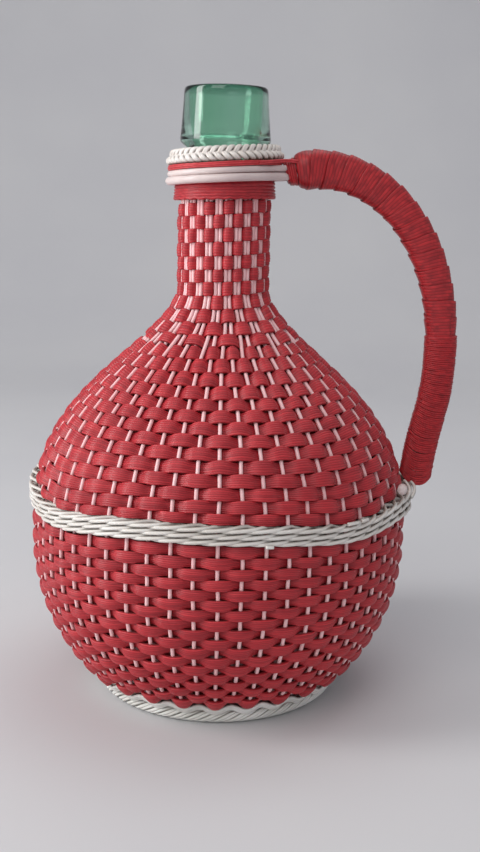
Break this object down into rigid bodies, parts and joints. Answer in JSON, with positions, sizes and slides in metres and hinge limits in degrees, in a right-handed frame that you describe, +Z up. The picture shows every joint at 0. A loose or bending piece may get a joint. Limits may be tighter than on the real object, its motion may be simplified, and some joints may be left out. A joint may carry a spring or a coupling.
{
  "type": "wicker-covered demijohn jug",
  "caption": "Green glass demijohn in a red and white woven plastic cover, with a wrapped arched handle and an open mouth.",
  "frame": {"origin": "on the floor, in the middle of the box round the jug and its handle; the bottle's axis is 12.2 mm towards -X", "axes": "+Z up along the bottle's axis, +X towards the handle, -Y towards the front that the picture shows"},
  "size_m": [0.2478, 0.2234, 0.3447],
  "materials": {
    "green_glass": "smooth green bottle glass",
    "red_strand": "satin red plastic strand",
    "white_wire": "satin white plastic wire",
    "white_tube": "matt off-white plastic tube"
  },
  "bodies": {
    "root": {"glass_bottle": "green_glass", "stakes": "white_wire", "bottom_weave": "red_strand", "foot_ring": "white_wire", "lower_weave": "red_strand", "waist_row_1": "white_wire", "waist_row_2": "white_wire", "waist_row_3": "white_wire", "shoulder_weave": "red_strand", "neck_weave": "red_strand", "collar_band": "red_strand", "collar_tube_lower": "white_wire", "collar_tube_upper": "white_wire", "collar_ring": "red_strand", "collar_plait": "white_wire", "handle_core_outer": "white_tube", "handle_core_inner": "white_tube", "handle_wrap_upper": "red_strand", "handle_wrap_lower": "red_strand"}
  },
  "joints": []
}
